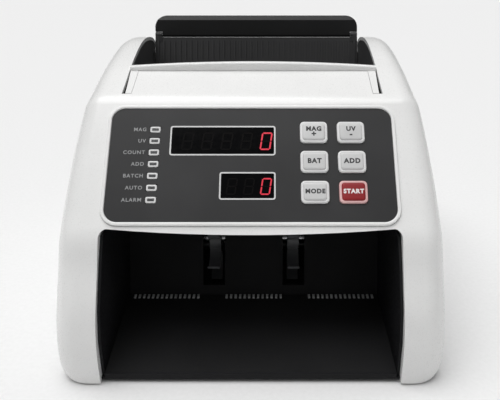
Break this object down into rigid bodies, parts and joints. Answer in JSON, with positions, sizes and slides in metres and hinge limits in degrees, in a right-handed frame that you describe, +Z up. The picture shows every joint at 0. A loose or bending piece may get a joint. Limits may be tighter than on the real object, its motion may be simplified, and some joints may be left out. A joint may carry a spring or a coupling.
{
  "type": "banknote counting machine",
  "caption": "Desktop banknote counter: sloped keypad and display, top hopper with flip-up back plate, front stacker pocket with finned wheels, hinged rear cover.",
  "frame": {"origin": "centre of the bounding box's footprint, on the plane of the rubber feet", "axes": "+X to the machine's right as seen from the front, +Y to the back, +Z up; the keypad and pocket face -Y"},
  "size_m": [0.257, 0.286, 0.2015],
  "materials": {
    "white_abs": "fine moulded texture",
    "black_abs": "fine moulded texture",
    "black_gloss_plastic": "polished",
    "overlay_film": "satin printed film",
    "smoked_window": "polished",
    "grey_key": "satin",
    "red_key": "satin",
    "lamp_lens": "frosted",
    "circuit_board": "solder mask",
    "painted_sheet": "satin black",
    "plated_steel": "zinc plated",
    "ground_steel": "ground",
    "feed_rubber": "matt",
    "grey_plastic": "moulded",
    "lamp_glass": "glass tube"
  },
  "bodies": {
    "case": {"upper_housing": "white_abs", "base_pan": "painted_sheet", "rubber_feet": "feed_rubber", "case_screws": "plated_steel", "panel_bezel": "white_abs", "panel_overlay": "overlay_film", "display_windows": "smoked_window", "indicator_lights": "lamp_lens", "display_board": "circuit_board", "digit_modules": "black_gloss_plastic", "left_side_plate": "painted_sheet", "right_side_plate": "painted_sheet", "tie_rods": "plated_steel", "shaft_bearings": "plated_steel", "hopper_cheeks": "black_abs", "hopper_floor": "black_abs", "feed_gate": "white_abs", "hopper_back_plate": "black_abs", "hinge_pins": "plated_steel", "separator_rail": "painted_sheet", "note_guides": "black_abs", "stacker_plate": "black_abs", "stacker_back_plate": "black_abs", "pocket_roof": "black_abs", "main_motor": "plated_steel", "stacker_motor": "plated_steel", "drive_belts": "feed_rubber", "main_board": "circuit_board", "power_transformer": "plated_steel", "uv_lamp": "lamp_glass", "note_sensors": "black_gloss_plastic", "rear_socket_panel": "black_abs", "power_inlet": "black_gloss_plastic"},
    "rear_cover": {"rear_cover": "white_abs"},
    "hopper_extension": {"hopper_extension": "black_abs"},
    "feed_drum": {"feed_shaft": "ground_steel", "feed_rollers": "feed_rubber", "timing_disc": "grey_plastic"},
    "pickup_drum": {"pickup_shaft": "ground_steel", "pickup_rollers": "feed_rubber"},
    "transport_drum": {"transport_shaft": "ground_steel", "transport_rollers": "feed_rubber"},
    "pinch_drum": {"pinch_shaft": "ground_steel", "pinch_rollers": "grey_plastic"},
    "main_rotor": {"main_motor_shaft": "plated_steel"},
    "stacker_drum": {"impeller_shaft": "ground_steel", "stacker_wheels": "grey_plastic"},
    "stacker_rotor": {"stacker_motor_shaft": "plated_steel"},
    "gap_adjuster": {"gap_screw": "plated_steel", "gap_knob": "black_abs"},
    "separator": {"separator_block": "black_abs", "separator_axles": "plated_steel", "separator_rollers": "feed_rubber"},
    "power_rocker": {"power_rocker": "black_gloss_plastic"},
    "key_magnetic": {"key_magnetic": "grey_key"},
    "key_ultraviolet": {"key_ultraviolet": "grey_key"},
    "key_batch": {"key_batch": "grey_key"},
    "key_add": {"key_add": "grey_key"},
    "key_mode": {"key_mode": "grey_key"},
    "key_start": {"key_start": "red_key"}
  },
  "joints": [
    {"name": "rear_cover_hinge", "type": "hinge", "parent": "case", "child": "rear_cover", "pos_m": [0, 0.1406, 0.064], "axis": [-1, 0, 0], "range_deg": [0, 75]},
    {"name": "extension_flip", "type": "hinge", "parent": "case", "child": "hopper_extension", "pos_m": [0, 0.117, 0.1849], "axis": [1, 0, 0], "range_deg": [0, 95]},
    {"name": "feed_spin", "type": "hinge", "parent": "case", "child": "feed_drum", "pos_m": [0, 0.069, 0.112], "axis": [1, 0, 0], "continuous": true},
    {"name": "pickup_spin", "type": "hinge", "parent": "case", "child": "pickup_drum", "pos_m": [0, 0.042, 0.14], "axis": [1, 0, 0], "continuous": true},
    {"name": "transport_spin", "type": "hinge", "parent": "case", "child": "transport_drum", "pos_m": [0, 0.019, 0.0687], "axis": [1, 0, 0], "continuous": true},
    {"name": "pinch_spin", "type": "hinge", "parent": "case", "child": "pinch_drum", "pos_m": [0, 0.0943, 0.0943], "axis": [1, 0, 0], "continuous": true},
    {"name": "main_motor_spin", "type": "hinge", "parent": "case", "child": "main_rotor", "pos_m": [0, 0.097, 0.042], "axis": [1, 0, 0], "continuous": true},
    {"name": "stacker_spin", "type": "hinge", "parent": "case", "child": "stacker_drum", "pos_m": [0, -0.017, 0.045], "axis": [1, 0, 0], "continuous": true},
    {"name": "stacker_motor_spin", "type": "hinge", "parent": "case", "child": "stacker_rotor", "pos_m": [0, 0.047, 0.03], "axis": [1, 0, 0], "continuous": true},
    {"name": "gap_knob_turn", "type": "hinge", "parent": "case", "child": "gap_adjuster", "pos_m": [0, 0.111, 0.14], "axis": [0, 0.3955, 0.9184], "range_deg": [-180, 180]},
    {"name": "separator_slide", "type": "slide", "parent": "case", "child": "separator", "axis": [0, 0.3955, 0.9184], "range_m": [-0.00035, 0.00035]},
    {"name": "power_rocker_tilt", "type": "hinge", "parent": "case", "child": "power_rocker", "pos_m": [0, 0.1345, 0.033], "axis": [1, 0, 0], "range_deg": [0, 20]},
    {"name": "key_magnetic_press", "type": "slide", "parent": "case", "child": "key_magnetic", "axis": [0, 0.7193, -0.6947], "range_m": [0, 0.0012], "stiffness_N_per_m": 400, "springref_m": -0.0002},
    {"name": "key_ultraviolet_press", "type": "slide", "parent": "case", "child": "key_ultraviolet", "axis": [0, 0.7193, -0.6947], "range_m": [0, 0.0012], "stiffness_N_per_m": 400, "springref_m": -0.0002},
    {"name": "key_batch_press", "type": "slide", "parent": "case", "child": "key_batch", "axis": [0, 0.7193, -0.6947], "range_m": [0, 0.0012], "stiffness_N_per_m": 400, "springref_m": -0.0002},
    {"name": "key_add_press", "type": "slide", "parent": "case", "child": "key_add", "axis": [0, 0.7193, -0.6947], "range_m": [0, 0.0012], "stiffness_N_per_m": 400, "springref_m": -0.0002},
    {"name": "key_mode_press", "type": "slide", "parent": "case", "child": "key_mode", "axis": [0, 0.7193, -0.6947], "range_m": [0, 0.0012], "stiffness_N_per_m": 400, "springref_m": -0.0002},
    {"name": "key_start_press", "type": "slide", "parent": "case", "child": "key_start", "axis": [0, 0.7193, -0.6947], "range_m": [0, 0.0012], "stiffness_N_per_m": 400, "springref_m": -0.0002}
  ],
  "couplings": [
    {"joint": "pickup_spin", "follows": "feed_spin", "ratio": 1},
    {"joint": "transport_spin", "follows": "feed_spin", "ratio": 2},
    {"joint": "pinch_spin", "follows": "feed_spin", "ratio": -3.3714},
    {"joint": "main_motor_spin", "follows": "feed_spin", "ratio": 2.5},
    {"joint": "stacker_motor_spin", "follows": "stacker_spin", "ratio": 3},
    {"joint": "gap_knob_turn", "follows": "separator_slide", "rad_per_m": 8975.9}
  ]
}
